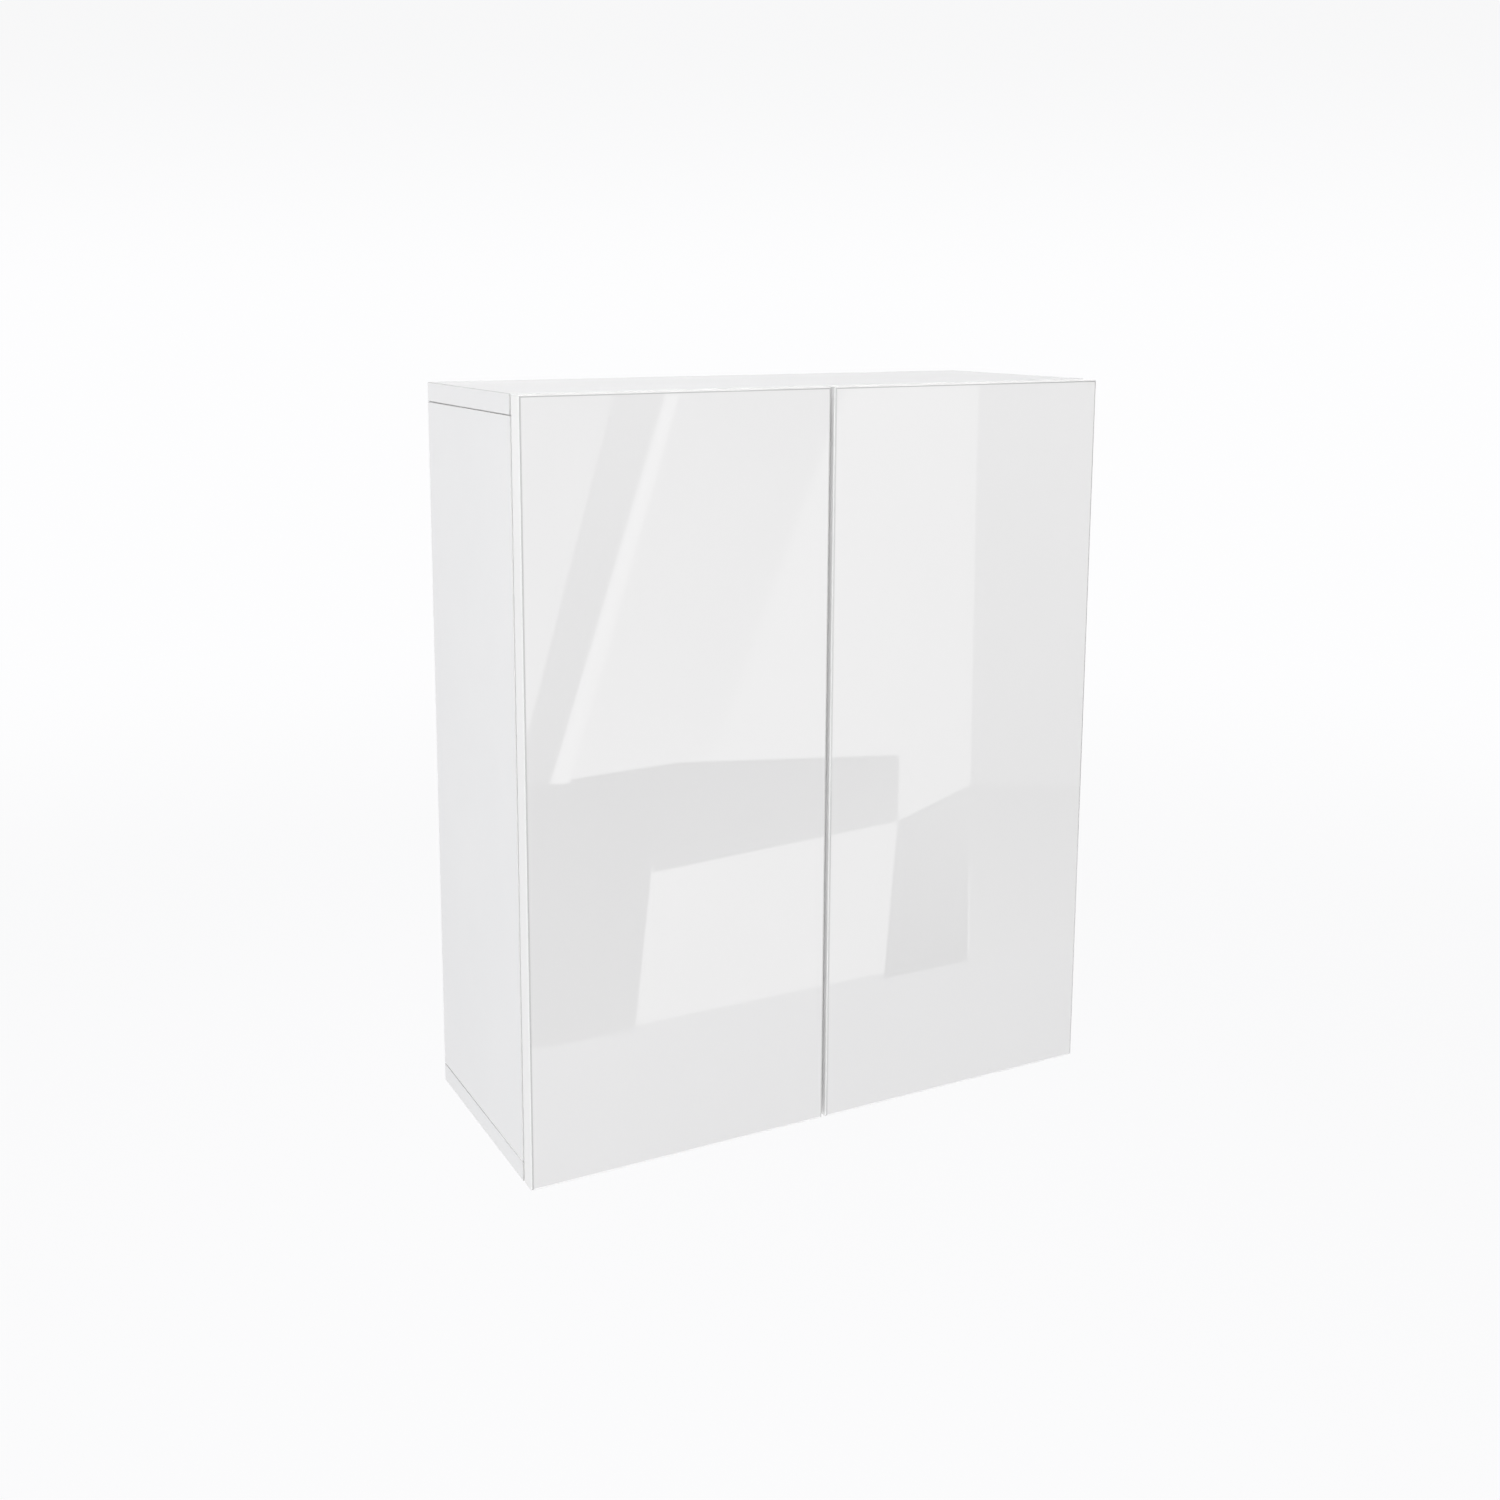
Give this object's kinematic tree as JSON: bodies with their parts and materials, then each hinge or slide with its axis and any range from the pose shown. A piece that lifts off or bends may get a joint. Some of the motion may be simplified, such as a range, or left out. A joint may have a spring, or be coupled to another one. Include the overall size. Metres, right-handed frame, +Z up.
{
  "type": "wall cabinet",
  "caption": "White hanging wall cabinet with gloss slab doors on concealed hinges, push latches, adjustable shelves and a wall rail.",
  "frame": {"origin": "on the hanging rail's back face, at mid-width on its screw line, 50 mm below the cabinet's top", "axes": "+Z up, +Y into the wall, +X to the right as seen from the front"},
  "size_m": [0.6, 0.24, 0.7],
  "materials": {
    "melamine_board": "matte",
    "gloss_lacquer": "gloss",
    "painted_hardboard": "matte",
    "nickel_steel": "satin",
    "bright_steel": "satin",
    "zinc_alloy": "satin",
    "galvanised_steel": "satin",
    "white_plastic": "matte",
    "grey_plastic": "matte"
  },
  "bodies": {
    "cabinet": {"back_panel": "painted_hardboard", "bottom_panel": "melamine_board", "left_bottom_back_cam_lock": "zinc_alloy", "left_bottom_front_cam_lock": "zinc_alloy", "left_hanger_depth_screw": "zinc_alloy", "left_hanger_height_screw": "zinc_alloy", "left_hanger_hook": "nickel_steel", "left_hanger_housing": "white_plastic", "left_latch_housing": "white_plastic", "left_lower_back_shelf_pin": "zinc_alloy", "left_lower_front_shelf_pin": "zinc_alloy", "left_lower_hinge_arm": "bright_steel", "left_lower_hinge_plate": "nickel_steel", "left_side_panel": "melamine_board", "left_top_back_cam_lock": "zinc_alloy", "left_top_front_cam_lock": "zinc_alloy", "left_upper_back_shelf_pin": "zinc_alloy", "left_upper_front_shelf_pin": "zinc_alloy", "left_upper_hinge_arm": "bright_steel", "left_upper_hinge_plate": "nickel_steel", "lower_shelf": "melamine_board", "right_bottom_back_cam_lock": "zinc_alloy", "right_bottom_front_cam_lock": "zinc_alloy", "right_hanger_depth_screw": "zinc_alloy", "right_hanger_height_screw": "zinc_alloy", "right_hanger_hook": "nickel_steel", "right_hanger_housing": "white_plastic", "right_latch_housing": "white_plastic", "right_lower_back_shelf_pin": "zinc_alloy", "right_lower_front_shelf_pin": "zinc_alloy", "right_lower_hinge_arm": "bright_steel", "right_lower_hinge_plate": "nickel_steel", "right_side_panel": "melamine_board", "right_top_back_cam_lock": "zinc_alloy", "right_top_front_cam_lock": "zinc_alloy", "right_upper_back_shelf_pin": "zinc_alloy", "right_upper_front_shelf_pin": "zinc_alloy", "right_upper_hinge_arm": "bright_steel", "right_upper_hinge_plate": "nickel_steel", "top_panel": "melamine_board", "upper_shelf": "melamine_board", "wall_rail": "galvanised_steel"},
    "left_long_links": {"left_lower_hinge_long_link": "bright_steel", "left_upper_hinge_long_link": "bright_steel"},
    "left_short_links": {"left_lower_hinge_short_link": "bright_steel", "left_upper_hinge_short_link": "bright_steel"},
    "left_door_leaf": {"left_door": "gloss_lacquer", "left_lower_hinge_cup": "nickel_steel", "left_upper_hinge_cup": "nickel_steel", "left_strike_plate": "nickel_steel"},
    "left_plunger": {"left_latch_plunger": "grey_plastic"},
    "right_long_links": {"right_lower_hinge_long_link": "bright_steel", "right_upper_hinge_long_link": "bright_steel"},
    "right_short_links": {"right_lower_hinge_short_link": "bright_steel", "right_upper_hinge_short_link": "bright_steel"},
    "right_door_leaf": {"right_door": "gloss_lacquer", "right_lower_hinge_cup": "nickel_steel", "right_upper_hinge_cup": "nickel_steel", "right_strike_plate": "nickel_steel"},
    "right_plunger": {"right_latch_plunger": "grey_plastic"}
  },
  "joints": [
    {"name": "left_long_link_turn", "type": "hinge", "parent": "cabinet", "child": "left_long_links", "pos_m": [-0.2501, -0.2194, -0.3], "axis": [0, 0, 1], "range_deg": [0, 30.62]},
    {"name": "left_door_open", "type": "hinge", "parent": "left_long_links", "child": "left_door_leaf", "pos_m": [-0.286, -0.2245, -0.3], "axis": [0, 0, -1], "range_deg": [0, 130.6]},
    {"name": "left_short_link_turn", "type": "hinge", "parent": "cabinet", "child": "left_short_links", "pos_m": [-0.2702, -0.2304, -0.3], "axis": [0, 0, 1], "range_deg": [0, 56.52]},
    {"name": "left_plunger_press", "type": "slide", "parent": "cabinet", "child": "left_plunger", "axis": [0, 1, 0], "range_m": [0, 0.002], "stiffness_N_per_m": 200},
    {"name": "right_long_link_turn", "type": "hinge", "parent": "cabinet", "child": "right_long_links", "pos_m": [0.2501, -0.2194, -0.3], "axis": [0, 0, -1], "range_deg": [0, 30.62]},
    {"name": "right_door_open", "type": "hinge", "parent": "right_long_links", "child": "right_door_leaf", "pos_m": [0.286, -0.2245, -0.3], "axis": [0, 0, 1], "range_deg": [0, 130.6]},
    {"name": "right_short_link_turn", "type": "hinge", "parent": "cabinet", "child": "right_short_links", "pos_m": [0.2702, -0.2304, -0.3], "axis": [0, 0, -1], "range_deg": [0, 56.52]},
    {"name": "right_plunger_press", "type": "slide", "parent": "cabinet", "child": "right_plunger", "axis": [0, 1, 0], "range_m": [0, 0.002], "stiffness_N_per_m": 200}
  ],
  "couplings": [
    {"joint": "left_long_link_turn", "follows": "left_door_open", "ratio": 0.2343},
    {"joint": "left_short_link_turn", "follows": "left_door_open", "ratio": 0.43262},
    {"joint": "right_long_link_turn", "follows": "right_door_open", "ratio": 0.2343},
    {"joint": "right_short_link_turn", "follows": "right_door_open", "ratio": 0.43262}
  ]
}
